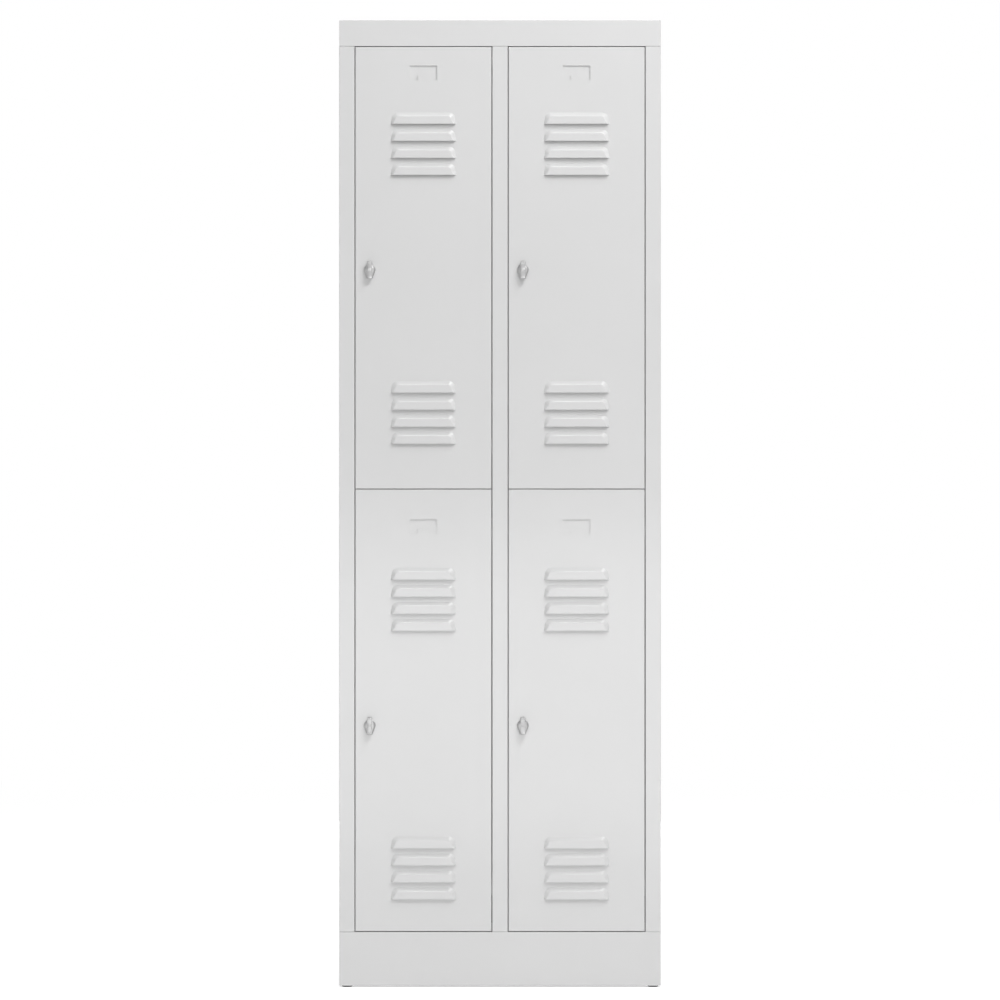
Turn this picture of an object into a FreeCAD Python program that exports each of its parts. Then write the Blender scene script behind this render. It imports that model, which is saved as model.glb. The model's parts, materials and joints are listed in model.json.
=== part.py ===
import FreeCAD, Part
import os
import Sketcher

# Sheet-steel locker cabinet, two columns by two tiers, built as the folded panels, doors,
# concealed pin hinges and turn latches that the real one is made of.
# Frame: Z up, the floor at Z = 0, the front faces -Y, the cabinet centred on X and Y.

DOC = FreeCAD.newDocument("LockerCabinet")
SHEET = DOC.addObject("Spreadsheet::Sheet", "Sizes")

DRIVING_SIZES = {
    # carcass
    "body_width": 600,
    "body_depth": 500,
    "body_height": 1800,
    "foot_height": 3,
    "plate": 0.8,
    "stile_width": 28.8,
    "fascia_height": 48.5,
    "plinth_height": 100,
    "seam": 0.5,
    "stop_depth": 22,
    "stop_lip": 12,
    "stop_overlap": 13.5,
    "flange": 15,
    "short_flange": 12,
    "bend_radius": 1.2,
    "fold_radius": 0.7,
    # doors
    "door_gap": 1.5,
    "door_plate": 1.0,
    "door_fold": 18,
    "door_lip": 11,
    "door_edge_radius": 1.2,
    "stiffener_inset": 44,
    "stiffener_width": 18,
    "stiffener_depth": 12,
    "stiffener_brim": 4.5,
    "stiffener_from_end": 12,
    # louvres
    "louvre_width": 122,
    "louvre_height": 21.5,
    "louvre_depth": 5.5,
    "louvre_wall": 0.8,
    "louvre_corner": 12,
    "louvre_crest_corner": 8,
    "louvre_lean": 1.5,
    "louvre_crest_lean": 5,
    "louvre_slope": 6.6,
    "louvre_end_slope": 3.5,
    "louvre_crest_radius": 3.5,
    "louvre_pitch": 31.7,
    "louvre_group_pitch": 500.7,
    "louvre_below_top": 143.8,
    # label recess
    "label_width": 51,
    "label_height": 27,
    "label_depth": 2.4,
    "label_below_top": 34.6,
    "label_tab_width": 21,
    "label_tab_height": 9,
    # the pressings of the lower doors sit lower on the door than those of the upper doors
    "lower_drop": 24,
    "lower_label_drop": 20.7,
    # hinges
    "hinge_inset": 10,
    "hinge_behind": 5,
    "hinge_from_end": 80,
    "hinge_pin_radius": 2,
    "hinge_fit": 0.05,
    "barrel_radius": 3.6,
    "barrel_length": 11,
    "leaf_plate": 2.5,
    "leaf_arm_width": 5,
    "leaf_arm_inset": 1,
    "leaf_foot_width": 29,
    "leaf_foot_height": 20,
    "leaf_foot_plate": 2,
    "ear_plate": 1.2,
    "ear_gap": 0.3,
    "ear_radius": 3.9,
    "bracket_width": 22,
    "bracket_inset": 6,
    "pin_head_radius": 3.4,
    "pin_head_height": 1.2,
    "pin_tail": 3,
    # latches
    "latch_inset": 26.7,
    "latch_below_top": 416,
    "latch_projection": 12,
    "rosette_radius": 11,
    "rosette_height": 2.5,
    "housing_radius": 8,
    "housing_length": 16,
    "nut_across_flats": 22,
    "nut_height": 4,
    "spindle_radius": 4,
    "spindle_fit": 0.05,
    "spindle_end_radius": 3,
    "grip_disc_radius": 10.6,
    "grip_disc_height": 5.6,
    "grip_rim_height": 1.0,
    "grip_width": 9.3,
    "grip_above": 15.5,
    "grip_below": 16.8,
    "cam_front": 24.4,
    "cam_plate": 2,
    "cam_length": 36,
    "cam_width": 14,
    "cam_above": 9,
    "cam_screw_radius": 5,
    "cam_screw_height": 2.4,
    "cam_screw_socket": 1.8,
    # feet, rails and hooks
    "foot_radius": 10,
    "foot_inset": 14.5,
    "rail_radius": 7.5,
    "rail_wall": 1,
    "rail_drop": 60,
    "rail_end_gap": 0.3,
    "socket_depth": 10,
    "socket_wall": 1.5,
    "socket_flange": 1.5,
    "socket_rim": 5,
    "hook_plate": 4,
    "hook_ring_wall": 3,
    "hook_play": 0.4,
    "hook_stem_width": 5,
    "hook_stem_length": 30,
    "hook_drop": 14,
    "hook_outer_radius": 19,
    "hook_inner_radius": 14,
    "bumper_radius": 4,
    "bumper_inset": 5.2,
    "bumper_from_end": 120,
    "wall_hole_radius": 4,
    "wall_hole_below_top": 62,
}


def fill_sheet():
    """Put every driving size in the spreadsheet as a plain number with an alias."""
    for row, (alias, value) in enumerate(DRIVING_SIZES.items(), start=1):
        SHEET.set("A%d" % row, alias)
        SHEET.set("B%d" % row, str(value))
        SHEET.setAlias("B%d" % row, alias)
    DOC.recompute()


class Size:
    """A length in mm that carries its value and the expression that binds it to the sheet."""

    def __init__(self, value, text):
        self.value = float(value)
        self.text = text

    def __add__(self, other):
        other = as_size(other)
        return Size(self.value + other.value, "(%s + %s)" % (self.text, other.text))

    def __sub__(self, other):
        other = as_size(other)
        return Size(self.value - other.value, "(%s - %s)" % (self.text, other.text))

    def __mul__(self, other):
        other = as_size(other)
        return Size(self.value * other.value, "(%s * %s)" % (self.text, other.text))

    def __truediv__(self, other):
        other = as_size(other)
        return Size(self.value / other.value, "(%s / %s)" % (self.text, other.text))

    def __radd__(self, other):
        return as_size(other) + self

    def __rsub__(self, other):
        return as_size(other) - self

    def __neg__(self):
        return 0 - self


def as_size(number):
    """Wrap a plain number, so that sizes and numbers mix in one sum."""
    if isinstance(number, Size):
        return number
    return Size(number, "(%s)" % number)


def size(alias):
    """The named cell of the sheet."""
    return Size(getattr(SHEET, alias), "Sizes.%s" % alias)


def bind(thing, prop, length):
    """Bind one property, or one coordinate of a placement, to the sheet."""
    thing.setExpression(prop, as_size(length).text)


def place(thing, x=0, y=0, z=0):
    """Put an object at a point given in sheet sizes."""
    bind(thing, "Placement.Base.x", x)
    bind(thing, "Placement.Base.y", y)
    bind(thing, "Placement.Base.z", z)
    return thing


# Part primitives and booleans

def box(x, y, z):
    """A box from three (low, high) pairs."""
    solid = DOC.addObject("Part::Box", "Block")
    for prop, (low, high) in (("Length", x), ("Width", y), ("Height", z)):
        bind(solid, prop, as_size(high) - low)
    return place(solid, x[0], y[0], z[0])


TURNS = {
    "x": FreeCAD.Rotation(FreeCAD.Vector(0, 1, 0), 90),
    "y": FreeCAD.Rotation(FreeCAD.Vector(1, 0, 0), -90),
    "z": FreeCAD.Rotation(),
}


def cylinder(axis, radius, length, x=0, y=0, z=0):
    """A cylinder that starts at a point and runs along +axis."""
    solid = DOC.addObject("Part::Cylinder", "Round")
    solid.Placement.Rotation = TURNS[axis]
    bind(solid, "Radius", radius)
    bind(solid, "Height", length)
    return place(solid, x, y, z)


def fuse(label, shapes):
    joined = DOC.addObject("Part::MultiFuse", label)
    joined.Shapes = shapes
    joined.Refine = True
    joined.Label = label
    return joined


def cut(label, base, tools):
    """Cut one or more tools from a base."""
    tool = tools[0] if len(tools) == 1 else fuse(label + "_tools", tools)
    result = DOC.addObject("Part::Cut", label)
    result.Base = base
    result.Tool = tool
    result.Refine = True
    result.Label = label
    return result


def edges_where(shape, wanted):
    """The numbers of the edges whose bounding box passes a test."""
    return [number for number, edge in enumerate(shape.Edges, start=1) if wanted(edge.BoundBox)]


def round_edges(label, base, radius, wanted):
    """Give the outer edges of a folded sheet their bend radius."""
    DOC.recompute()
    base.Label = label + "_square"
    result = DOC.addObject("Part::Fillet", label)
    result.Base = base
    result.Edges = [(number, radius.value, radius.value) for number in edges_where(base.Shape, wanted)]
    result.Label = label
    return result


def lies_at(low, high, level):
    """True when a span of an edge lies wholly at one level."""
    level = as_size(level).value
    return abs(low - level) < SAME and abs(high - level) < SAME


def group(label, shapes):
    """Identical loose pieces that share one node."""
    result = DOC.addObject("Part::Compound", label)
    result.Links = shapes
    result.Label = label
    return result


# PartDesign bodies and sketches

def make_body(label):
    body = DOC.addObject("PartDesign::Body", label)
    body.Label = label
    return body


def sketch_on(body, role, offset=0):
    """A sketch on one of the body's own origin planes, moved along the plane's normal."""
    plane = [item for item in body.Origin.OriginFeatures if item.Role == role][0]
    sketch = body.newObject("Sketcher::SketchObject", "Outline")
    sketch.AttachmentSupport = (plane, [""])
    sketch.MapMode = "FlatFace"
    bind(sketch, "AttachmentOffset.Base.z", offset)
    return sketch


def pin_point(sketch, edge, end, point):
    """Hold one end of a sketch edge at a point measured from the origin."""
    for kind, length in zip(("DistanceX", "DistanceY"), point):
        length = as_size(length)
        number = sketch.addConstraint(Sketcher.Constraint(kind, -1, 1, edge, end, length.value))
        bind(sketch, "Constraints[%d]" % number, length)


def vector(point):
    return FreeCAD.Vector(as_size(point[0]).value, as_size(point[1]).value, 0)


def draw_polygon(sketch, points):
    """A closed outline of straight lines."""
    first = sketch.GeometryCount
    count = len(points)
    for index, point in enumerate(points):
        after = points[(index + 1) % count]
        sketch.addGeometry(Part.LineSegment(vector(point), vector(after)), False)
    for index, point in enumerate(points):
        here = first + index
        there = first + (index + 1) % count
        sketch.addConstraint(Sketcher.Constraint("Coincident", here, 2, there, 1))
        pin_point(sketch, here, 1, point)


def draw_rectangle(sketch, across, up):
    draw_polygon(sketch, [(across[0], up[0]), (across[1], up[0]), (across[1], up[1]), (across[0], up[1])])


def draw_circle(sketch, centre, radius):
    radius = as_size(radius)
    edge = sketch.addGeometry(Part.Circle(vector(centre), FreeCAD.Vector(0, 0, 1), radius.value), False)
    pin_point(sketch, edge, 3, centre)
    number = sketch.addConstraint(Sketcher.Constraint("Radius", edge, radius.value))
    bind(sketch, "Constraints[%d]" % number, radius)


def draw_hood(sketch, middle, foot, width, height, corner, lean):
    """A flat-bottomed outline whose sides lean in to two rounded upper corners."""
    half = as_size(width) / 2
    left = as_size(middle) - half
    right = as_size(middle) + half
    head = as_size(foot) + height
    shoulder = head - corner
    corners = [(left, foot), (right, foot), (right - lean, shoulder), (right - lean - corner, head),
               (left + lean + corner, head), (left + lean, shoulder)]
    first = sketch.GeometryCount
    for index, point in enumerate(corners):
        after = corners[(index + 1) % len(corners)]
        start = vector(point)
        end = vector(after)
        if index in (2, 4):
            hub = FreeCAD.Vector(min(start.x, end.x), min(start.y, end.y), 0)
            if index == 4:
                hub.x = max(start.x, end.x)
            bulge = (start - hub).normalize() + (end - hub).normalize()
            halfway = hub + bulge.normalize() * as_size(corner).value
            sketch.addGeometry(Part.Arc(start, halfway, end), False)
        else:
            sketch.addGeometry(Part.LineSegment(start, end), False)
    for index, point in enumerate(corners):
        here = first + index
        there = first + (index + 1) % len(corners)
        sketch.addConstraint(Sketcher.Constraint("Coincident", here, 2, there, 1))
        pin_point(sketch, here, 1, point)
    for index in (2, 4):
        number = sketch.addConstraint(Sketcher.Constraint("Radius", first + index, as_size(corner).value))
        bind(sketch, "Constraints[%d]" % number, corner)


def pad(body, sketch, length, backwards=False):
    feature = body.newObject("PartDesign::Pad", "Pad")
    feature.Profile = sketch
    feature.Reversed = backwards
    bind(feature, "Length", length)
    return feature


def pocket(body, sketch, length, backwards=False):
    feature = body.newObject("PartDesign::Pocket", "Pocket")
    feature.Profile = sketch
    feature.Reversed = backwards
    bind(feature, "Length", length)
    return feature


def loft(body, kind, sections):
    feature = body.newObject(kind, "Loft")
    feature.Profile = sections[0]
    feature.Sections = sections[1:]
    feature.Ruled = True
    return feature


def revolve(body, points, role="XZ_Plane"):
    """A turned piece: the outline turns about the vertical axis of its sketch."""
    sketch = sketch_on(body, role)
    draw_polygon(sketch, points)
    feature = body.newObject("PartDesign::Revolution", "Turned")
    feature.Profile = sketch
    feature.ReferenceAxis = (sketch, ["V_Axis"])
    feature.Angle = 360
    return feature


fill_sheet()

# How close two levels must be to count as one, and how far a cutting tool runs past what it cuts

SAME = 0.01
BEYOND = 1

# Planes and places that several pieces share

LEFT = -(size("body_width") / 2)
RIGHT = size("body_width") / 2
FRONT = size("latch_projection") - (size("body_depth") + size("latch_projection")) / 2
BACK = FRONT + size("body_depth")
BASE = size("foot_height")
TOP = BASE + size("body_height")
PLATE = size("plate")
STILE = size("stile_width")
STILE_BOTTOM = BASE + size("plinth_height") + size("seam")
STILE_TOP = TOP - size("fascia_height") - size("seam")
STOP = FRONT + size("stop_depth")
BEHIND_STOP = STOP + PLATE
INNER_BACK = BACK - PLATE
FLANGE = size("flange")
SHORT_FLANGE = size("short_flange")

GAP = size("door_gap")
DOOR_WIDTH = size("body_width") / 2 - STILE * 1.5 - GAP * 2
DOOR_HEIGHT = (size("body_height") - size("fascia_height") - size("plinth_height") - GAP * 3) / 2
LOWER_DOOR = BASE + size("plinth_height") + GAP
UPPER_DOOR = LOWER_DOOR + DOOR_HEIGHT + GAP
SHELF_TOP = UPPER_DOOR + size("stop_overlap")
FLOOR_TOP = LOWER_DOOR + size("stop_overlap")

COLUMNS = {"left": LEFT + STILE + GAP, "right": STILE / 2 + GAP}
TIERS = {"upper": UPPER_DOOR, "lower": LOWER_DOOR}
CEILINGS = {"upper": TOP - PLATE, "lower": SHELF_TOP - PLATE}


def compartments():
    """Name, tier, column, and the place of the door's lower left front corner."""
    for tier in TIERS:
        for column in COLUMNS:
            yield tier + "_" + column, tier, column, COLUMNS[column], TIERS[tier]


# Carcass panels

def side_panel(label, column):
    """A side wall whose front is folded round into the stile; the left one ends in the lock stop."""
    outer = LEFT if column == "left" else RIGHT
    inward = 1 if column == "left" else -1

    def span(low, high):
        first = outer + as_size(low) * inward
        last = outer + as_size(high) * inward
        return (first, last) if inward > 0 else (last, first)

    lip = (STILE - PLATE, STILE + size("stop_lip")) if column == "left" else (STILE - FLANGE, STILE)
    under_roof = TOP - SHORT_FLANGE - size("seam")
    plates = [
        box(span(0, PLATE), (FRONT + PLATE, INNER_BACK), (BASE, under_roof)),
        box(span(0, STILE), (FRONT, FRONT + PLATE), (STILE_BOTTOM, STILE_TOP)),
        box(span(STILE - PLATE, STILE), (FRONT, BEHIND_STOP), (STILE_BOTTOM, STILE_TOP)),
        box(span(*lip), (STOP, BEHIND_STOP), (STILE_BOTTOM, STILE_TOP)),
        box(span(0, FLANGE), (INNER_BACK - PLATE, INNER_BACK), (BASE, under_roof)),
        box(span(PLATE, PLATE * 2), (BEHIND_STOP + PLATE, INNER_BACK), (TOP - FLANGE * 2, TOP - PLATE)),
        box(span(0, FLANGE * 2), (FRONT + PLATE, INNER_BACK), (BASE, BASE + PLATE)),
    ]
    folded = fuse(label + "_folded", plates)
    foot_x = outer + size("foot_inset") * inward
    holes = [cylinder("z", FOOT_STEM + 0.05, 4, foot_x, y, BASE - 1) for y in FOOT_ROWS]
    drilled = cut(label, folded, holes)
    return round_edges(label, drilled, size("bend_radius"), is_upright_front_fold)


def back_panel():
    sheet = box((LEFT, RIGHT), (INNER_BACK, BACK), (BASE, TOP - SHORT_FLANGE - size("seam")))
    height = TOP - size("wall_hole_below_top")
    holes = [cylinder("y", size("wall_hole_radius"), 4, middle_of(column), INNER_BACK - 1, height)
             for column in COLUMNS]
    return cut("back_panel", sheet, holes)


def top_panel():
    """The roof: a lid folded down all round, in front into the fascia and the stop of the upper doors."""
    under = TOP - size("fascia_height")
    inside = (LEFT + PLATE, RIGHT - PLATE)
    skirt = (TOP - SHORT_FLANGE, TOP)
    folded = fuse("top_panel_lid", [
        box((LEFT, RIGHT), (FRONT, BACK), (TOP - PLATE, TOP)),
        box((LEFT, RIGHT), (FRONT, FRONT + PLATE), (under, TOP)),
        box(inside, (FRONT, BEHIND_STOP + PLATE), (under, under + PLATE)),
        box(inside, (BEHIND_STOP, BEHIND_STOP + PLATE), (under - GAP - size("stop_overlap"), under + PLATE)),
        box((LEFT, RIGHT), (INNER_BACK, BACK), skirt),
        box((LEFT, LEFT + PLATE), (FRONT, BACK), skirt),
        box((RIGHT - PLATE, RIGHT), (FRONT, BACK), skirt),
    ])
    bent = round_edges("top_panel_bent", folded, size("bend_radius"),
                       lambda span: lies_at(span.ZMin, span.ZMax, TOP) and on_rim(span))
    return round_edges("top_panel", bent, size("fold_radius"),
                       lambda span: is_front_fold(span) and lies_at(span.ZMin, span.ZMax, under))


def on_rim(span):
    """True for an edge along the outline of the cabinet as seen from above."""
    return (lies_at(span.YMin, span.YMax, FRONT) or lies_at(span.YMin, span.YMax, BACK)
            or lies_at(span.XMin, span.XMax, LEFT) or lies_at(span.XMin, span.XMax, RIGHT))


def is_front_fold(span):
    """True for an edge that runs across the whole front."""
    return lies_at(span.YMin, span.YMax, FRONT) and span.XLength > size("body_width").value / 2


def plinth_panel():
    head = BASE + size("plinth_height")
    foot_flange = FLANGE * 2 + 1
    folded = fuse("plinth_panel_square", [
        box((LEFT, RIGHT), (FRONT, FRONT + PLATE), (BASE, head)),
        box((LEFT + PLATE, RIGHT - PLATE), (FRONT, BEHIND_STOP), (head - PLATE, head)),
        box((LEFT + foot_flange, RIGHT - foot_flange), (FRONT, FRONT + FLANGE), (BASE, BASE + PLATE)),
    ])
    return round_edges("plinth_panel", folded, size("fold_radius"),
                       lambda span: is_front_fold(span) and lies_at(span.ZMin, span.ZMax, head))


def tray(label, across, head):
    """A shelf or floor: a sheet with a deep front flange that stops the doors, and side flanges."""
    deep = (BEHIND_STOP, INNER_BACK - PLATE - size("seam"))
    drop = size("stop_overlap") * 2 + GAP
    fold = (head - SHORT_FLANGE, head)
    return fuse(label, [
        box(across, deep, (head - PLATE, head)),
        box(across, (BEHIND_STOP, BEHIND_STOP + PLATE), (head - drop, head)),
        box((across[0], across[0] + PLATE), (BEHIND_STOP + FLANGE, deep[1]), fold),
        box((across[1] - PLATE, across[1]), (BEHIND_STOP + FLANGE, deep[1]), fold),
    ])


def centre_stile():
    """A post with the left doors' hinges on its left side and the right doors' lock stop on its right."""
    half = STILE / 2
    tall = (STILE_BOTTOM, STILE_TOP)
    folded = fuse("centre_stile_square", [
        box((-half, half), (FRONT, FRONT + PLATE), tall),
        box((-half, PLATE - half), (FRONT, BEHIND_STOP), tall),
        box((half - PLATE, half), (FRONT, BEHIND_STOP), tall),
        box((-half, PLATE / 2), (STOP, BEHIND_STOP), tall),
        box((half - PLATE, half + size("stop_lip")), (STOP, BEHIND_STOP), tall),
    ])
    return round_edges("centre_stile", folded, size("bend_radius"), is_upright_front_fold)


def is_upright_front_fold(span):
    """True for an edge that runs up the front face for most of the height."""
    return lies_at(span.YMin, span.YMax, FRONT) and span.ZLength > size("body_height").value / 2


def centre_partition():
    half = PLATE / 2
    tall = (FLOOR_TOP, TOP - PLATE)
    folded = fuse("centre_partition_folded", [
        box((-half, half), (BEHIND_STOP, INNER_BACK), tall),
        box((-half, FLANGE), (INNER_BACK - PLATE, INNER_BACK), tall),
    ])
    corner = STILE_TOP - size("stop_overlap") - GAP
    notch = box((-1, 1), (BEHIND_STOP - 1, BEHIND_STOP + PLATE), (corner, TOP))
    return cut("centre_partition", folded, [notch])


def middle_of(column):
    return COLUMNS[column] + DOOR_WIDTH / 2


# Feet, rails, hooks and bumpers

FOOT_STEM = as_size(4)
FOOT_ROWS = (FRONT + size("foot_inset"), INNER_BACK - size("foot_inset") * 1.5)


def foot(label, x, y):
    """A push-in foot: a low round pad, with a barbed stem through the bottom flange."""
    body = make_body(label)
    barb = FOOT_STEM + 0.8
    flange_top = BASE + PLATE
    revolve(body, [(0, 0), (size("foot_radius") - 0.6, 0), (size("foot_radius"), 0.6),
                   (size("foot_radius"), BASE), (FOOT_STEM, BASE), (FOOT_STEM, flange_top + 0.2),
                   (barb, flange_top + 0.8), (FOOT_STEM - 0.8, flange_top + 6), (0, flange_top + 6)])
    return place(body, x, y, 0)


def compartment_walls(column):
    """The inner faces of the two walls of a column."""
    if column == "left":
        return LEFT + PLATE, -(PLATE / 2)
    return PLATE / 2, RIGHT - PLATE


RAIL_Y = (FRONT + BACK) / 2


def rail_height(tier):
    return CEILINGS[tier] - size("rail_drop")


def clothes_rail(label, tier, column):
    low, high = compartment_walls(column)
    start = low + size("rail_end_gap")
    length = high - low - size("rail_end_gap") * 2
    tube = cylinder("x", size("rail_radius"), length, start, RAIL_Y, rail_height(tier))
    inside = size("rail_radius") - size("rail_wall")
    hollow = cylinder("x", inside, length + BEYOND * 2, start - BEYOND, RAIL_Y, rail_height(tier))
    return cut(label, tube, [hollow])


def rail_socket(tier, column, side):
    """A cup screwed to the wall that holds one end of a rail."""
    low, high = compartment_walls(column)
    depth = size("socket_depth")
    flange = size("socket_flange")
    bore_radius = size("rail_radius") + 0.1
    cup_radius = bore_radius + size("socket_wall")
    start = low if side == "low" else high - depth
    flange_start = low if side == "low" else high - flange
    height = rail_height(tier)
    cup = cylinder("x", cup_radius, depth, start, RAIL_Y, height)
    plate = cylinder("x", cup_radius + size("socket_rim"), flange, flange_start, RAIL_Y, height)
    bore = cylinder("x", bore_radius, depth + BEYOND * 2, start - BEYOND, RAIL_Y, height)
    return cut("Socket", fuse("Cup", [cup, plate]), [bore])


def coat_hook(tier, column, along):
    """A flat ring that slides on the rail, with a stem and an upturned double hook below."""
    thick = size("hook_plate")
    ring_inner = size("rail_radius") + size("hook_play")
    ring_outer = ring_inner + size("hook_ring_wall")
    low, high = compartment_walls(column)
    x = low + (high - low) * along
    height = rail_height(tier)
    ring_foot = height - ring_outer
    stem_half = size("hook_stem_width") / 2
    hook_middle = ring_foot - size("hook_drop")
    ring = cylinder("x", ring_outer, thick, x, RAIL_Y, height)
    stem = box((x, x + thick), (RAIL_Y - stem_half, RAIL_Y + stem_half),
               (ring_foot - size("hook_stem_length"), height - ring_inner - 1))
    disc = cylinder("x", size("hook_outer_radius"), thick, x, RAIL_Y, hook_middle)
    disc_bore = cylinder("x", size("hook_inner_radius"), thick + BEYOND * 2, x - BEYOND, RAIL_Y, hook_middle)
    beyond_disc = size("hook_outer_radius") + BEYOND
    upper_half = box((x - BEYOND, x + thick + BEYOND), (RAIL_Y - beyond_disc, RAIL_Y + beyond_disc),
                     (hook_middle, hook_middle + beyond_disc))
    hooks = cut("DoubleHook", disc, [disc_bore, upper_half])
    blank = fuse("HookBlank", [ring, stem, hooks])
    bore = cylinder("x", ring_inner, thick + BEYOND * 2, x - BEYOND, RAIL_Y, height)
    return cut("Hook", blank, [bore])


def bumper(door_x, door_z, height):
    """A rubber dot on the lock stop, just clear of the closed door's lip."""
    thick = size("stop_depth") - size("door_fold") - 0.3
    return cylinder("y", size("bumper_radius"), thick, door_x + size("bumper_inset"), STOP - thick,
                    door_z + height)


# Hinges: every leaf reaches forward from behind the stile to a barrel inside the door

def hinge_heights():
    return size("hinge_from_end"), DOOR_HEIGHT - size("hinge_from_end")


def hinge_axis(door_x):
    return door_x + DOOR_WIDTH - size("hinge_inset"), FRONT + size("hinge_behind")


def hinge_leaf(x, y, z):
    """A foot plate riveted behind the stile, an arm, and the barrel on the hinge line."""
    back_of_stile = size("stop_depth") + PLATE - size("hinge_behind")
    thick = size("leaf_plate")
    arm_end = -size("leaf_arm_inset")
    arm_start = arm_end - size("leaf_arm_width")
    foot_half = size("leaf_foot_height") / 2
    plate = box((arm_start, arm_start + size("leaf_foot_width")),
                (back_of_stile, back_of_stile + size("leaf_foot_plate")), (-foot_half, foot_half))
    arm = box((arm_start, arm_end), (0, back_of_stile + 1), (-(thick / 2), thick / 2))
    length = size("barrel_length")
    barrel = cylinder("z", size("barrel_radius"), length, 0, 0, -(length / 2))
    leaf = cut("Leaf", fuse("LeafBlank", [plate, arm, barrel]), [pin_bore(length)])
    return place(leaf, x, y, z)


def pin_bore(length):
    """The hole for a hinge pin, longer than what it passes through."""
    return cylinder("z", size("hinge_pin_radius") + size("hinge_fit"), length * 2, 0, 0, -length)


def hinge_bracket(x, y, z):
    """A bracket welded inside the door skin, with an ear above and below the barrel."""
    inner_skin = size("door_plate") - size("hinge_behind")
    ear = size("ear_plate")
    reach = size("barrel_length") / 2 + size("ear_gap")
    start = -size("bracket_width")
    web = box((start, -size("bracket_inset")), (inner_skin, inner_skin + ear), (-reach - ear, reach + ear))
    ears = []
    for low in (reach, -reach - ear):
        ears.append(box((start, 0), (inner_skin, size("ear_radius")), (low, low + ear)))
        ears.append(cylinder("z", size("ear_radius"), ear, 0, 0, low))
    bracket = cut("Bracket", fuse("BracketBlank", [web] + ears), [pin_bore(size("barrel_length") * 2)])
    return place(bracket, x, y, z)


def hinge_pin(x, y, z):
    """A headed pin dropped through the ears and the barrel."""
    reach = size("barrel_length") / 2 + size("ear_gap") + size("ear_plate")
    tail = size("pin_tail")
    shank = cylinder("z", size("hinge_pin_radius"), reach * 2 + tail, 0, 0, -reach - tail)
    head = cylinder("z", size("pin_head_radius"), size("pin_head_height"), 0, 0, reach + 0.1)
    return place(fuse("Pin", [shank, head]), x, y, z)


# Doors

def louvre_section(body, offset, drop, inset=None):
    """One outline of a louvre hood, on a plane parallel to the door face: its root, or the inset crest."""
    sketch = sketch_on(body, "XZ_Plane", offset)
    foot_line = DOOR_HEIGHT - size("louvre_below_top") - drop
    if inset is None:
        draw_hood(sketch, DOOR_WIDTH / 2, foot_line, size("louvre_width"), size("louvre_height"),
                  size("louvre_corner"), size("louvre_lean"))
    else:
        draw_hood(sketch, DOOR_WIDTH / 2, foot_line,
                  size("louvre_width") - (size("louvre_end_slope") + inset) * 2,
                  size("louvre_height") - size("louvre_slope") - inset,
                  size("louvre_crest_corner"), size("louvre_crest_lean"))
    return sketch


def add_louvres(body, drop):
    """Eight hoods pressed out of the skin and open below: two groups of four."""
    depth = size("louvre_depth")
    wall = size("louvre_wall")
    outer = loft(body, "PartDesign::AdditiveLoft", [
        louvre_section(body, 0, drop), louvre_section(body, depth, drop, 0)])
    inner = loft(body, "PartDesign::SubtractiveLoft", [
        louvre_section(body, -(size("door_plate") + BEYOND), drop),
        louvre_section(body, depth - wall, drop, wall * 0.6)])
    pattern = body.newObject("PartDesign::MultiTransform", "Louvres")
    pattern.Originals = [outer, inner]
    steps = []
    for pitch, count in ((size("louvre_pitch"), 4), (size("louvre_group_pitch"), 2)):
        step = body.newObject("PartDesign::LinearPattern", "Row")
        step.Direction = (inner.Profile[0], ["V_Axis"])
        step.Reversed = True
        bind(step, "Length", pitch * (count - 1))
        step.Occurrences = count
        steps.append(step)
    pattern.Transformations = steps
    body.Tip = pattern
    DOC.recompute()
    return round_louvres(body, pattern, depth, size("louvre_crest_radius"))


def round_louvres(body, base, height, radius):
    """Roll the edges of the hoods that lie at one height above the skin, apart from their open lower lips."""
    lip_length = size("louvre_width") - size("louvre_end_slope") * 2

    def wanted(span):
        crest = lies_at(span.YMin, span.YMax, -height)
        level = span.ZLength < SAME
        lip = level and span.XLength > lip_length.value - 1
        return crest and not lip

    feature = body.newObject("PartDesign::Fillet", "Rolled")
    feature.Base = (base, ["Edge%d" % number for number in edges_where(base.Shape, wanted)])
    bind(feature, "Radius", radius)
    DOC.recompute()
    return feature


def add_label_recess(body, drop):
    """A shallow pressed card recess with a tab left standing at its lower edge."""
    depth = size("label_depth")
    half = size("label_width") / 2
    middle = DOOR_WIDTH / 2
    head = DOOR_HEIGHT - size("label_below_top") - drop
    foot_line = head - size("label_height")
    backing = sketch_on(body, "XZ_Plane", -size("door_plate"))
    draw_rectangle(backing, (middle - half - 1, middle + half + 1), (foot_line - 1, head + 1))
    pad(body, backing, depth, backwards=True)
    recess = sketch_on(body, "XZ_Plane")
    tab = size("label_tab_width") / 2
    step = foot_line + size("label_tab_height")
    draw_polygon(recess, [(middle - half, foot_line), (middle - tab, foot_line), (middle - tab, step),
                          (middle + tab, step), (middle + tab, foot_line), (middle + half, foot_line),
                          (middle + half, head), (middle - half, head)])
    pocket(body, recess, depth)


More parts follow.
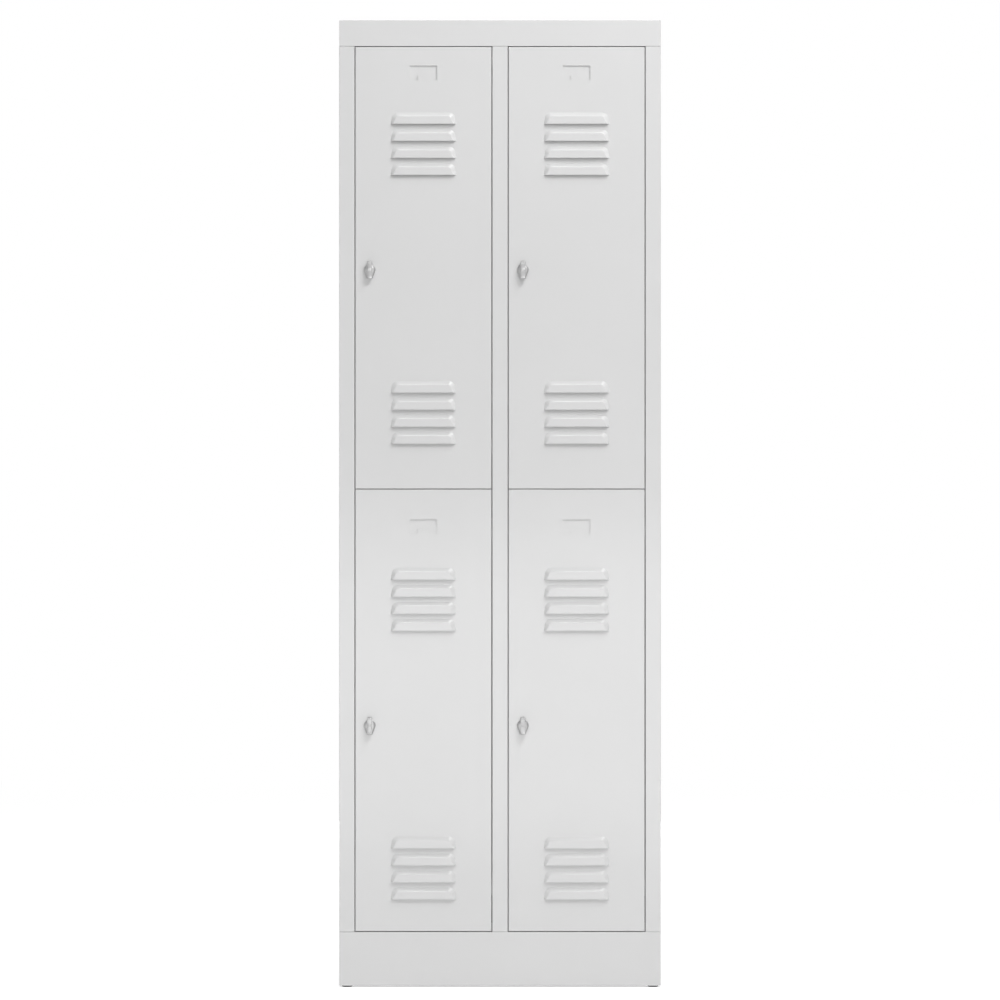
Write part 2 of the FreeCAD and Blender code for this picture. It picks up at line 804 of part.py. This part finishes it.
def door_panel(label, tier, x, z):
    """The door: a skin with a folded edge all round, a lock-side lip, louvres and a label recess."""
    body = make_body(label)
    drop = size("lower_drop") if tier == "lower" else as_size(0)
    label_drop = size("lower_label_drop") if tier == "lower" else as_size(0)
    plate = size("door_plate")
    skin = sketch_on(body, "XZ_Plane")
    draw_rectangle(skin, (0, DOOR_WIDTH), (0, DOOR_HEIGHT))
    pad(body, skin, plate, backwards=True)
    edge = sketch_on(body, "XZ_Plane")
    draw_rectangle(edge, (0, DOOR_WIDTH), (0, DOOR_HEIGHT))
    draw_rectangle(edge, (plate, DOOR_WIDTH - plate), (plate, DOOR_HEIGHT - plate))
    pan = pad(body, edge, size("door_fold"), backwards=True)
    DOC.recompute()
    round_front_edges(body, pan)
    lip = sketch_on(body, "XZ_Plane", plate - size("door_fold"))
    draw_rectangle(lip, (plate / 2, size("door_lip")), (plate / 2, DOOR_HEIGHT - plate / 2))
    pad(body, lip, plate, backwards=True)
    add_louvres(body, drop)
    add_label_recess(body, label_drop)
    hole = sketch_on(body, "XZ_Plane", 1)
    latch_height = DOOR_HEIGHT - size("latch_below_top") - drop
    draw_circle(hole, (size("latch_inset"), latch_height), size("housing_radius") + 0.2)
    pocket(body, hole, plate + 1.5)
    for height in hinge_heights():
        notch = body.newObject("PartDesign::SubtractiveBox", "Notch")
        bind(notch, "Length", plate + 1)
        bind(notch, "Width", size("door_fold"))
        bind(notch, "Height", size("leaf_plate") + 3)
        place(notch, DOOR_WIDTH - plate - 0.5, plate + 0.8, height - size("leaf_plate") / 2 - 1.5)
    return place(body, x, FRONT, z)


def round_front_edges(body, pan):
    """Round the folds round the front face and the four upright corners."""
    def wanted(span):
        outermost = (span.XMax < SAME or span.XMin > DOOR_WIDTH.value - SAME
                     or span.ZMax < SAME or span.ZMin > DOOR_HEIGHT.value - SAME)
        return span.YMax < SAME and outermost

    feature = body.newObject("PartDesign::Fillet", "Folds")
    feature.Base = (pan, ["Edge%d" % number for number in edges_where(pan.Shape, wanted)])
    bind(feature, "Radius", size("door_edge_radius"))
    return feature


def door_stiffener(label, x, z):
    """A hat channel spot-welded up the inside of the skin beside the latch."""
    inner = FRONT + size("door_plate")
    crown = inner + size("stiffener_depth")
    start = x + size("stiffener_inset")
    finish = start + size("stiffener_width")
    brim = size("stiffener_brim")
    deep = (inner, crown)
    tall = (z + size("stiffener_from_end"), z + DOOR_HEIGHT - size("stiffener_from_end"))
    return fuse(label, [
        box((start, start + PLATE), deep, tall),
        box((finish - PLATE, finish), deep, tall),
        box((start, finish), (crown - PLATE, crown), tall),
        box((start - brim, start + PLATE), (inner, inner + PLATE), tall),
        box((finish - PLATE, finish + brim), (inner, inner + PLATE), tall),
    ])


# Latches: local Y runs into the cabinet, the origin is on the door face

def latch_housing(label, x, z):
    """A round rosette on the face, with a threaded barrel through the skin."""
    body = make_body(label)
    height = size("rosette_height")
    radius = size("rosette_radius")
    bore = size("spindle_radius") + size("spindle_fit")
    revolve(body, [(bore, -size("housing_length")), (size("housing_radius"), -size("housing_length")),
                   (size("housing_radius"), 0), (radius, 0), (radius, height * 0.45),
                   (radius - 1.2, height), (bore, height)])
    body.Placement.Rotation = FreeCAD.Rotation(FreeCAD.Vector(1, 0, 0), 90)
    return place(body, x, FRONT, z)


def latch_nut(label, x, z):
    """A thin hexagon nut that clamps the housing to the skin from inside."""
    body = make_body(label)
    sketch = sketch_on(body, "XZ_Plane")
    flat = size("nut_across_flats") / 2
    point = flat * 1.1547
    draw_polygon(sketch, [(0, point), (-flat, point / 2), (-flat, -(point / 2)), (0, -point),
                          (flat, -(point / 2)), (flat, point / 2)])
    draw_circle(sketch, (0, 0), size("housing_radius") + 0.02)
    pad(body, sketch, size("nut_height"), backwards=True)
    return place(body, x, FRONT + size("door_plate"), z)


def latch_grip(label, x, z):
    """The turned grip: a disc with a tapered tail and a wing on it, in one piece with the spindle."""
    body = make_body(label)
    back = size("rosette_height") + 0.3
    disc = size("grip_disc_radius")
    front = back + size("grip_disc_height")
    spindle = size("spindle_radius")
    tip = size("spindle_end_radius")
    half = size("grip_width") / 2
    above = size("grip_above")
    below = size("grip_below")
    corner = as_size(1.4)
    revolve(body, [(0, size("cam_front") + size("cam_plate")), (tip, size("cam_front") + size("cam_plate")),
                   (tip, size("cam_front")), (spindle, size("cam_front")), (spindle, -back), (disc, -back),
                   (disc, -(back + size("grip_rim_height"))), (disc - 2, -(front - 0.8)), (0, -front)],
            role="XY_Plane")
    tail = sketch_on(body, "XZ_Plane", back)
    draw_polygon(tail, [(-(disc - 0.8), -4), (disc - 0.8, -4), (half + 1, corner - below),
                        (half - 1, -below), (1 - half, -below), (-half - 1, corner - below)])
    pad(body, tail, size("grip_disc_height") - 0.8)
    wing = sketch_on(body, "XZ_Plane", back)
    draw_polygon(wing, [(-half, above - corner), (corner - half, above), (half - corner, above),
                        (half, above - corner), (half, corner - below), (half - corner, -below),
                        (corner - half, -below), (-half, corner - below)])
    wing_pad = pad(body, wing, size("latch_projection") - back)
    DOC.recompute()
    soften_wing(body, wing_pad)
    return place(body, x, FRONT, z)


def soften_wing(body, wing_pad):
    """Round the rim of the wing's front face."""
    rim = edges_where(wing_pad.Shape, lambda span: lies_at(span.YMin, span.YMax, -size("latch_projection")))
    feature = body.newObject("PartDesign::Fillet", "Soft")
    feature.Base = (wing_pad, ["Edge%d" % number for number in rim])
    bind(feature, "Radius", 1)
    return feature


def latch_cam(label, x, z):
    """A flat bar on the spindle's end; it hangs clear of the stop until the grip is turned."""
    body = make_body(label)
    sketch = sketch_on(body, "XZ_Plane")
    half = size("cam_width") / 2
    reach = size("cam_length")
    above = size("cam_above")
    draw_polygon(sketch, [(-half, 4 - reach), (4 - half, -reach), (half - 4, -reach), (half, 4 - reach),
                          (half, above - 3), (half - 3, above), (3 - half, above), (-half, above - 3)])
    draw_circle(sketch, (0, 0), size("spindle_end_radius") + 0.03)
    pad(body, sketch, size("cam_plate"), backwards=True)
    return place(body, x, FRONT + size("cam_front"), z)


def cam_screw(label, x, z):
    """A pan-head screw that clamps the cam on the spindle."""
    end = size("cam_front") + size("cam_plate")
    head = cylinder("y", size("cam_screw_radius"), size("cam_screw_height"), x, FRONT + end + 0.02, z)
    socket = cylinder("y", size("cam_screw_socket"), 2, x, FRONT + end + 1, z)
    return cut(label, head, [socket])


# Assembly

def build_all():
    nodes = []
    nodes.append(side_panel("left_side_panel", "left"))
    nodes.append(side_panel("right_side_panel", "right"))
    nodes.append(back_panel())
    nodes.append(top_panel())
    nodes.append(plinth_panel())
    nodes.append(tray("floor_panel", (LEFT + PLATE, RIGHT - PLATE), FLOOR_TOP))
    nodes.append(centre_stile())
    nodes.append(centre_partition())
    for column in COLUMNS:
        nodes.append(tray(column + "_middle_shelf", compartment_walls(column), SHELF_TOP))
        outer = LEFT + size("foot_inset") if column == "left" else RIGHT - size("foot_inset")
        for row, y in zip(("front", "rear"), FOOT_ROWS):
            nodes.append(foot("%s_%s_foot" % (row, column), outer, y))

    sockets, hooks, pins, bumpers = [], [], [], []
    for name, tier, column, x, z in compartments():
        nodes.append(clothes_rail(name + "_clothes_rail", tier, column))
        sockets += [rail_socket(tier, column, side) for side in ("low", "high")]
        hooks += [coat_hook(tier, column, along) for along in (0.35, 0.65)]
        axis_x, axis_y = hinge_axis(x)
        heights = [z + height for height in hinge_heights()]
        nodes.append(group(name + "_hinge_leaves", [hinge_leaf(axis_x, axis_y, h) for h in heights]))
        nodes.append(group(name + "_hinge_brackets", [hinge_bracket(axis_x, axis_y, h) for h in heights]))
        pins += [hinge_pin(axis_x, axis_y, h) for h in heights]
        bumper_heights = (size("bumper_from_end"), DOOR_HEIGHT - size("bumper_from_end"))
        bumpers += [bumper(x, z, height) for height in bumper_heights]
        nodes.append(door_panel(name + "_door_panel", tier, x, z))
        nodes.append(door_stiffener(name + "_door_stiffener", x, z))
        drop = size("lower_drop") if tier == "lower" else as_size(0)
        latch_z = z + DOOR_HEIGHT - size("latch_below_top") - drop
        latch_x = x + size("latch_inset")
        nodes.append(latch_housing(name + "_latch_housing", latch_x, latch_z))
        nodes.append(latch_nut(name + "_latch_nut", latch_x, latch_z))
        nodes.append(latch_grip(name + "_latch_grip", latch_x, latch_z))
        nodes.append(latch_cam(name + "_latch_cam", latch_x, latch_z))
        nodes.append(cam_screw(name + "_cam_screw", latch_x, latch_z))
    nodes.append(group("rail_sockets", sockets))
    nodes.append(group("coat_hooks", hooks))
    nodes.append(group("hinge_pins", pins))
    nodes.append(group("door_bumpers", bumpers))
    return nodes


def check_and_export(nodes):
    """Stop on any feature in error or any bad shape, then write one STEP file per node."""
    DOC.recompute()
    for item in DOC.Objects:
        if "Invalid" in item.State or "Error" in item.State:
            raise RuntimeError("%s is in error" % item.Label)
    os.makedirs("parts", exist_ok=True)
    for node in nodes:
        shape = node.Shape
        if shape.isNull() or not shape.isValid():
            raise RuntimeError("%s has no valid shape" % node.Label)
        shape.exportStep("parts/%s.step" % node.Label)
    print("%d nodes written" % len(nodes))


check_and_export(build_all())
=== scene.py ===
"""Looks of the locker cabinet: materials, finished latches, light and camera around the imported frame."""

import json
import math

import bmesh
import bpy
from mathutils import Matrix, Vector


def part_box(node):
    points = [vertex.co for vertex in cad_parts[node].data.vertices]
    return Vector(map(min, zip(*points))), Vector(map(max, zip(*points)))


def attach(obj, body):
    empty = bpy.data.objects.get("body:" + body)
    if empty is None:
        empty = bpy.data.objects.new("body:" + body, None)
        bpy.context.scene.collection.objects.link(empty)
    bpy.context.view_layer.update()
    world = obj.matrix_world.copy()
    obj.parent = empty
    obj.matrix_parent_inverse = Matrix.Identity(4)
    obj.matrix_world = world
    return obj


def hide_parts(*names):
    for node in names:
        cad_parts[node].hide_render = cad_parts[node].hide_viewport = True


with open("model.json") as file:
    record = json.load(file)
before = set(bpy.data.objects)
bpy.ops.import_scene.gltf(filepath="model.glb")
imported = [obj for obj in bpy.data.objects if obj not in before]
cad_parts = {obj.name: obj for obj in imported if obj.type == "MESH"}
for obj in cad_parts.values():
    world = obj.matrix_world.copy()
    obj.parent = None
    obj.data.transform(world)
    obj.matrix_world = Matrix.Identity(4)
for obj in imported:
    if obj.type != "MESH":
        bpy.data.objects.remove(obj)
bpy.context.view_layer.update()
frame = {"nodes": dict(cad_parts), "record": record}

NODES = frame["nodes"]
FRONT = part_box("plinth_panel")[0].y


# ---------------------------------------------------------------- camera

# The camera looks straight at the front plane, in metres apart from the sensor's width.
CAMERA_DISTANCE = 7.0
CAMERA_HEIGHT = 0.9084
CAMERA_REACH = 100
VIEW_WIDTH = 1.8642
SENSOR = 36.0


def add_camera():
    """A level camera whose view is as wide as VIEW_WIDTH at the front of the cabinet."""
    data = bpy.data.cameras.new("camera")
    data.sensor_width = SENSOR
    data.lens = SENSOR * CAMERA_DISTANCE / VIEW_WIDTH
    data.clip_end = CAMERA_REACH
    camera = bpy.data.objects.new("camera", data)
    bpy.context.scene.collection.objects.link(camera)
    camera.location = (0, FRONT - CAMERA_DISTANCE, CAMERA_HEIGHT)
    camera.rotation_euler = (math.radians(90), 0, 0)
    bpy.context.scene.camera = camera


# ---------------------------------------------------------------- materials

class Shader:
    """A node material under construction."""

    def __init__(self, name):
        self.material = bpy.data.materials.new(name)
        self.material.use_nodes = True
        self.tree = self.material.node_tree
        self.tree.nodes.clear()
        self.output = self.add("ShaderNodeOutputMaterial")

    def add(self, kind, inputs=None, **settings):
        node = self.tree.nodes.new(kind)
        for key, value in settings.items():
            setattr(node, key, value)
        for key, value in (inputs or {}).items():
            self.feed(node, key, value)
        return node

    def feed(self, node, key, value):
        """Set an input to a plain value, or link it to an output socket."""
        socket = node.inputs[key]
        if isinstance(value, bpy.types.NodeSocket):
            self.tree.links.new(value, socket)
        else:
            socket.default_value = value

    def place(self, scale=(1, 1, 1)):
        """The point on the piece, in metres, stretched along the axes."""
        where = self.add("ShaderNodeTexCoord").outputs["Object"]
        if scale == (1, 1, 1):
            return where
        return self.add("ShaderNodeMapping", {"Vector": where, "Scale": scale}).outputs["Vector"]

    def noise(self, scale, detail=2.0, roughness=0.5, stretch=(1, 1, 1)):
        node = self.add("ShaderNodeTexNoise", {
            "Vector": self.place(stretch), "Scale": scale, "Detail": detail, "Roughness": roughness})
        return node.outputs["Fac"]

    def spread(self, value, low, high, to_low=0.0, to_high=1.0):
        node = self.add("ShaderNodeMapRange", {
            "Value": value, "From Min": low, "From Max": high, "To Min": to_low, "To Max": to_high})
        return node.outputs["Result"]

    def math(self, operation, first, second):
        node = self.add("ShaderNodeMath", operation=operation)
        self.feed(node, 0, first)
        self.feed(node, 1, second)
        return node.outputs["Value"]

    def mix(self, factor, first, second):
        node = self.add("ShaderNodeMix", data_type="RGBA")
        self.feed(node, "Factor", factor)
        self.feed(node, "A", first)
        self.feed(node, "B", second)
        return node.outputs["Result"]

    def edges(self, radius, sharpness=0.9):
        """1 on convex and concave edges, 0 on open faces."""
        rounded = self.add("ShaderNodeBevel", {"Radius": radius}, samples=4).outputs["Normal"]
        plain = self.add("ShaderNodeNewGeometry").outputs["Normal"]
        match = self.add("ShaderNodeVectorMath", operation="DOT_PRODUCT")
        self.feed(match, 0, rounded)
        self.feed(match, 1, plain)
        return self.spread(match.outputs["Value"], 1.0, sharpness)

    def relief(self, layers):
        """Bumps on top of each other: pairs of a height in 0..1 and its depth in metres."""
        normal = None
        for height, depth in layers:
            node = self.add("ShaderNodeBump", {"Height": height, "Distance": depth, "Strength": 1.0})
            if normal is not None:
                self.feed(node, "Normal", normal)
            normal = node.outputs["Normal"]
        return normal

    def finish(self, **inputs):
        named = {key.replace("_", " "): value for key, value in inputs.items()}
        surface = self.add("ShaderNodeBsdfPrincipled", named)
        self.feed(self.output, "Surface", surface.outputs["BSDF"])
        return self.material


def grey(level, tint=(1.0, 1.0, 1.0)):
    return (level * tint[0], level * tint[1], level * tint[2], 1.0)


def powder_coat(name):
    """Sheet steel in light grey powder coat: fine orange peel, cloudy film, thin film on edges."""
    shader = Shader(name)
    clouds = shader.noise(3.1, 3.0, 0.55)
    grain = shader.noise(1500.0, 1.0)
    colour = shader.mix(shader.spread(clouds, 0.3, 0.7), grey(0.665), grey(0.685))
    colour = shader.mix(shader.spread(grain, 0.62, 0.75, 0.0, 0.10), colour, grey(0.50))
    patches = shader.spread(shader.noise(140.0, 3.0), 0.45, 0.62)
    wear = shader.math("MULTIPLY", shader.edges(0.0009), patches)
    colour = shader.mix(shader.math("MULTIPLY", wear, 0.35), colour, grey(0.80))
    roughness = shader.spread(shader.noise(9.0, 3.0), 0.3, 0.7, 0.145, 0.175)
    roughness = shader.math("ADD", roughness, shader.math("MULTIPLY", wear, 0.08))
    peel = shader.noise(620.0, 1.5, 0.4)
    waves = shader.noise(38.0, 1.0, 0.3)
    normal = shader.relief([(waves, 0.00002), (peel, 0.000006)])
    return shader.finish(Base_Color=colour, Roughness=roughness, Normal=normal)


def plated(name, level, roughness_low, roughness_high, brush, tint=(1.0, 1.0, 1.0)):
    """Plated metal, drawn or brushed along one axis, dulled and scuffed where it is handled."""
    shader = Shader(name)
    streaks = shader.noise(260.0, 2.0, 0.6, stretch=brush)
    clouds = shader.noise(70.0, 3.0)
    colour = shader.mix(shader.spread(clouds, 0.3, 0.7), grey(level, tint), grey(level * 0.88, tint))
    patches = shader.spread(shader.noise(900.0, 2.0), 0.45, 0.6)
    scuffs = shader.math("MULTIPLY", shader.edges(0.0006), patches)
    colour = shader.mix(shader.math("MULTIPLY", scuffs, 0.5), colour, grey(min(level * 1.15, 0.95)))
    roughness = shader.spread(streaks, 0.25, 0.75, roughness_low, roughness_high)
    normal = shader.relief([(streaks, 0.000008), (shader.noise(420.0, 2.0), 0.00001)])
    return shader.finish(Base_Color=colour, Metallic=1.0, Roughness=roughness, Normal=normal)


def moulded(name, level, roughness, tint=(1.0, 1.0, 1.0)):
    """Moulded plastic or rubber with a fine eroded texture and rubbed edges."""
    shader = Shader(name)
    clouds = shader.noise(60.0, 3.0)
    colour = shader.mix(shader.spread(clouds, 0.3, 0.7), grey(level, tint), grey(level * 1.25, tint))
    patches = shader.spread(shader.noise(500.0, 2.0), 0.4, 0.6)
    rubbed = shader.math("MULTIPLY", shader.edges(0.0008), patches)
    colour = shader.mix(shader.math("MULTIPLY", rubbed, 0.4), colour, grey(level * 1.9, tint))
    rough = shader.spread(shader.noise(230.0, 2.0), 0.3, 0.7, roughness - 0.05, roughness + 0.05)
    normal = shader.relief([(shader.noise(1100.0, 2.0), 0.00003)])
    return shader.finish(Base_Color=colour, Roughness=rough, Normal=normal)


MATERIALS = {
    "carcass_paint": powder_coat("carcass_powder_coat"),
    "door_paint": powder_coat("door_powder_coat"),
    "chrome": plated("plated_zinc_casting", 0.62, 0.46, 0.54, (1, 1, 1)),
    "zinc_steel": plated("zinc_plated_steel", 0.62, 0.28, 0.42, (1, 1, 0.06), (0.98, 0.99, 1.0)),
    "black_plastic": moulded("black_plastic_foot", 0.012, 0.5),
    "grey_plastic": moulded("grey_plastic_fitting", 0.33, 0.42),
    "rubber": moulded("bumper_rubber", 0.035, 0.75),
}


def dress_nodes():
    for node in NODES.values():
        for place in node.material_slots:
            place.material = MATERIALS[place.material.name.split(".")[0]]


# ---------------------------------------------------------------- latch grips

# All sizes of the grip are in millimetres from the spindle's axis and the door's face.
MM = 0.001
GRIP = {
    "back": 2.8,
    "disc_radius": 10.4, "disc_height": 5.5, "dome_drop": 0.45,
    "tail_starts": 0.35, "tail_root": 4.0, "tail_widest": 0.93, "tail_margin": 0.4,
    "half_width": 4.6, "above": 15.4, "below": 16.7, "front": 11.3, "corner": 1.3, "rim": 1.0,
    "crown": 0.3, "foot": 2.0, "waist": 0.25, "waist_length": 7.0,
    "crest": 0.65, "crest_length": 1.7, "low_crest": 1.9, "middle_crest": 0.4, "high_crest": 1.6,
}

# Distance in front of the door's face, less than 0 behind it, and radius.
SPINDLE = ((2.9, 3.7), (0.0, 3.95), (-24.1, 3.95), (-24.4, 3.6), (-24.4, 2.95), (-26.1, 2.95), (-26.35, 2.7))

# Inset from the outline and height above the back of the disc, from its back edge up over its flank.
DISC_RINGS = ((0.35, 0.0), (0.0, 0.35), (0.0, 0.9), (0.5, 2.2), (1.2, 3.5), (2.0, 4.5), (2.9, 5.0))

# Shares of the outline's reach that the rings of the dome have, towards its middle.
DOME = (0.6, 0.45, 0.3, 0.15, 0.04)

ROUND_POINTS = 72
OUTLINE_SMOOTHINGS = 2
WING_STATIONS = 60
STATION_CROWDING = 0.045
RIM_POINTS = 5
CROWN_POINTS = 8
SMOOTH_BELOW = 50


def add_shell(shape, rings, at):
    """A closed shell through a stack of rings that have the same number of points, all in millimetres."""
    rows = [[shape.verts.new(at + Vector(point) * MM) for point in ring] for ring in rings]
    for lower, upper in zip(rows, rows[1:]):
        for index in range(len(lower)):
            after = (index + 1) % len(lower)
            shape.faces.new((lower[index], lower[after], upper[after], upper[index]))
    shape.faces.new(rows[0][::-1])
    shape.faces.new(rows[-1])


def directions(count):
    """Evenly spaced directions round a circle, from straight up, as pairs of across and up."""
    turns = [2 * math.pi * step / count for step in range(count)]
    return [(math.sin(turn), math.cos(turn)) for turn in turns]


def disc_reach(across, up):
    """How far the outline of the disc with its tapered tail lies from the spindle in one direction."""
    radius, below = GRIP["disc_radius"], GRIP["below"]
    if up > -GRIP["tail_starts"]:
        return radius
    end = below / -up
    root = GRIP["tail_root"]
    widest = radius * GRIP["tail_widest"]
    narrowest = GRIP["half_width"] + GRIP["tail_margin"]
    slope = (widest - narrowest) / (below - root)
    side = (widest + root * slope) / (abs(across) - up * slope)
    return max(radius, min(end, side))


def disc_rings():
    """The disc from its back to the middle of its shallow dome."""
    ways = directions(ROUND_POINTS)
    reaches = [disc_reach(*way) for way in ways]
    for _ in range(OUTLINE_SMOOTHINGS):
        reaches = [(reaches[i - 1] + 2 * reaches[i] + reaches[(i + 1) % ROUND_POINTS]) / 4
                   for i in range(ROUND_POINTS)]
    back = GRIP["back"]
    for inset, height in DISC_RINGS:
        yield [(x * (reach - inset), -(back + height), z * (reach - inset))
               for (x, z), reach in zip(ways, reaches)]
    for part in DOME:
        height = GRIP["disc_height"] - GRIP["dome_drop"] * part
        yield [(x * reach * part, -(back + height), z * reach * part)
               for (x, z), reach in zip(ways, reaches)]


def eased(distance, radius):
    """How much a rounded edge has fallen away at some distance from the end."""
    short = max(0.0, 1 - distance / radius)
    return radius * (1 - math.sqrt(max(0.0, 1 - short * short)))


def hump(distance, length):
    """A smooth bump that is 1 at its middle and fades out over some length."""
    return math.exp(-((distance / length) ** 2))


def wing_rings():
    """Cross-sections of the wing from bottom to top, with a crest at each end and one over the spindle."""
    below, above, rim, crown = -GRIP["below"], GRIP["above"], GRIP["rim"], GRIP["crown"]
    crests = (below + GRIP["low_crest"], GRIP["middle_crest"], above - GRIP["high_crest"])
    for station in range(WING_STATIONS + 1):
        share = station / WING_STATIONS
        z = below + (above - below) * (share - STATION_CROWDING * math.sin(4 * math.pi * share))
        gap = min(z - below, above - z)
        half = GRIP["half_width"] - eased(gap, GRIP["corner"])
        half -= GRIP["waist"] * hump(z, GRIP["waist_length"])
        front = GRIP["front"] - eased(gap, rim)
        front += GRIP["crest"] * sum(hump(z - crest, GRIP["crest_length"]) for crest in crests)
        edge = front - crown - rim
        side = [(-half, -GRIP["back"], z), (-half, -(GRIP["back"] + GRIP["foot"]), z), (-half, -edge, z)]
        for step in range(1, RIM_POINTS + 1):
            turn = math.pi / 2 * step / (RIM_POINTS + 1)
            side.append((-half + rim * (1 - math.cos(turn)), -(edge + rim * math.sin(turn)), z))
        flat = half - rim
        across = [flat * (2 * step / CROWN_POINTS - 1) for step in range(CROWN_POINTS + 1)]
        face = [(x, -(front - crown * (x / flat) ** 2), z) for x in across]
        yield side + face + [(-x, y, z) for x, y, z in reversed(side)]


def spindle_rings():
    for ahead, radius in SPINDLE:
        yield [(x * radius, -ahead, z * radius) for x, z in directions(ROUND_POINTS // 2)]


def add_grip(name, at):
    """One cast grip: a domed disc with a tapered tail, the thumb wing on it and the spindle behind."""
    shape = bmesh.new()
    add_shell(shape, list(disc_rings()), at)
    add_shell(shape, list(wing_rings()), at)
    add_shell(shape, list(spindle_rings()), at)
    bmesh.ops.recalc_face_normals(shape, faces=shape.faces)
    mesh = bpy.data.meshes.new(name + "_grip")
    shape.to_mesh(mesh)
    shape.free()
    mesh.shade_smooth()
    mesh.set_sharp_from_angle(angle=math.radians(SMOOTH_BELOW))
    mesh.materials.append(MATERIALS["chrome"])
    piece = bpy.data.objects.new(name + "_cast_grip", mesh)
    bpy.context.scene.collection.objects.link(piece)
    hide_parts(name + "_grip")
    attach(piece, name)


def add_grips():
    for joint in frame["record"]["behaviour"]["joints"]:
        if joint["name"].endswith("_latch_turn"):
            add_grip(joint["child"], Vector(joint["pos_m"]))


# ---------------------------------------------------------------- floor, light

AMBIENT = 0.385
FLOOR_GLOW = 0.55
FLOOR_RADIUS = 70
FLOOR_SIDES = 96
FLOOR_FADES = (1.6, 5.0)


def add_floor():
    """A round pale floor that turns into plain white far from the cabinet."""
    mesh = bpy.data.meshes.new("floor")
    shape = bmesh.new()
    bmesh.ops.create_circle(shape, cap_ends=True, radius=FLOOR_RADIUS, segments=FLOOR_SIDES)
    shape.to_mesh(mesh)
    shape.free()
    floor = bpy.data.objects.new("floor", mesh)
    bpy.context.scene.collection.objects.link(floor)
    shader = Shader("pale_floor")
    where = shader.place()
    length = shader.add("ShaderNodeVectorMath", {0: where}, operation="LENGTH").outputs["Value"]
    far = shader.spread(length, *FLOOR_FADES)
    lit = shader.add("ShaderNodeBsdfDiffuse", {"Color": grey(0.92)})
    seen = shader.add("ShaderNodeLightPath").outputs["Is Camera Ray"]
    glow = shader.add("ShaderNodeEmission", {"Strength": shader.math("MULTIPLY", seen, FLOOR_GLOW)})
    near_floor = shader.add("ShaderNodeAddShader")
    shader.feed(near_floor, 0, lit.outputs[0])
    shader.feed(near_floor, 1, glow.outputs[0])
    far_glow = shader.spread(seen, 0.0, 1.0, AMBIENT, 1.0)
    white = shader.add("ShaderNodeEmission", {"Strength": far_glow})
    blend = shader.add("ShaderNodeMixShader")
    shader.feed(blend, 0, far)
    shader.feed(blend, 1, near_floor.outputs[0])
    shader.feed(blend, 2, white.outputs[0])
    shader.feed(shader.output, "Surface", blend.outputs[0])
    mesh.materials.append(shader.material)


# The keys and the low card light the front. The other cards stand below the level of the
# cabinet's top, so that they light its sides and back without a glare on the top.
LIGHTS = {
    "near_key": {
        "at": (1.7, -2.4, 3.0), "towards": (0.0, -0.24, 1.1), "size": (1.2, 1.2), "power": 11.2},
    "steep_key": {
        "at": (0.9, -1.3, 3.3), "towards": (0.0, -0.24, 1.0), "size": (1.0, 1.0), "power": 19.0},
    "far_key": {
        "at": (0.15, -5.0, 6.6), "towards": (0.0, -0.24, 0.9), "size": (1.2, 1.2), "power": 66.0},
    "far_right": {
        "at": (2.4, -4.0, 5.8), "towards": (0.0, -0.24, 0.9), "size": (1.5, 1.5), "power": 65.5},
    "low_card": {
        "at": (0.0, -3.2, 0.42), "towards": (0.0, -0.24, 0.42), "size": (3.0, 0.83), "power": 19.0},
    "left_side_card": {
        "at": (-3.0, 0.7, 0.85), "towards": (-0.3, 0.1, 0.85), "size": (2.0, 1.5), "power": 24.0},
    "right_side_card": {
        "at": (3.0, 0.7, 0.85), "towards": (0.3, 0.1, 0.85), "size": (2.0, 1.5), "power": 12.0},
    "back_card": {
        "at": (0.0, 3.4, 0.85), "towards": (0.0, 0.2, 0.85), "size": (1.4, 1.5), "power": 40.0},
}


def add_light(name, at, towards, size, power):
    data = bpy.data.lights.new(name, "AREA")
    data.shape = "RECTANGLE"
    data.size, data.size_y = size
    data.energy = power
    light = bpy.data.objects.new(name, data)
    bpy.context.scene.collection.objects.link(light)
    light.location = at
    light.rotation_euler = (Vector(towards) - Vector(at)).to_track_quat("-Z", "Y").to_euler()


def add_surroundings():
    """White all round for the camera, and a dimmer white for the light it throws."""
    world = bpy.data.worlds.new("studio")
    bpy.context.scene.world = world
    world.use_nodes = True
    tree = world.node_tree
    tree.nodes.clear()
    seen = tree.nodes.new("ShaderNodeBackground")
    seen.inputs["Strength"].default_value = 1.0
    thrown = tree.nodes.new("ShaderNodeBackground")
    thrown.inputs["Strength"].default_value = AMBIENT
    for background in (seen, thrown):
        background.inputs["Color"].default_value = grey(1.0)
    ray = tree.nodes.new("ShaderNodeLightPath")
    blend = tree.nodes.new("ShaderNodeMixShader")
    output = tree.nodes.new("ShaderNodeOutputWorld")
    tree.links.new(ray.outputs["Is Camera Ray"], blend.inputs[0])
    tree.links.new(thrown.outputs[0], blend.inputs[1])
    tree.links.new(seen.outputs[0], blend.inputs[2])
    tree.links.new(blend.outputs[0], output.inputs["Surface"])


add_camera()
dress_nodes()
add_grips()
add_floor()
add_surroundings()
for light_name, facts in LIGHTS.items():
    add_light(light_name, **facts)
bpy.context.scene.view_settings.view_transform = "Standard"
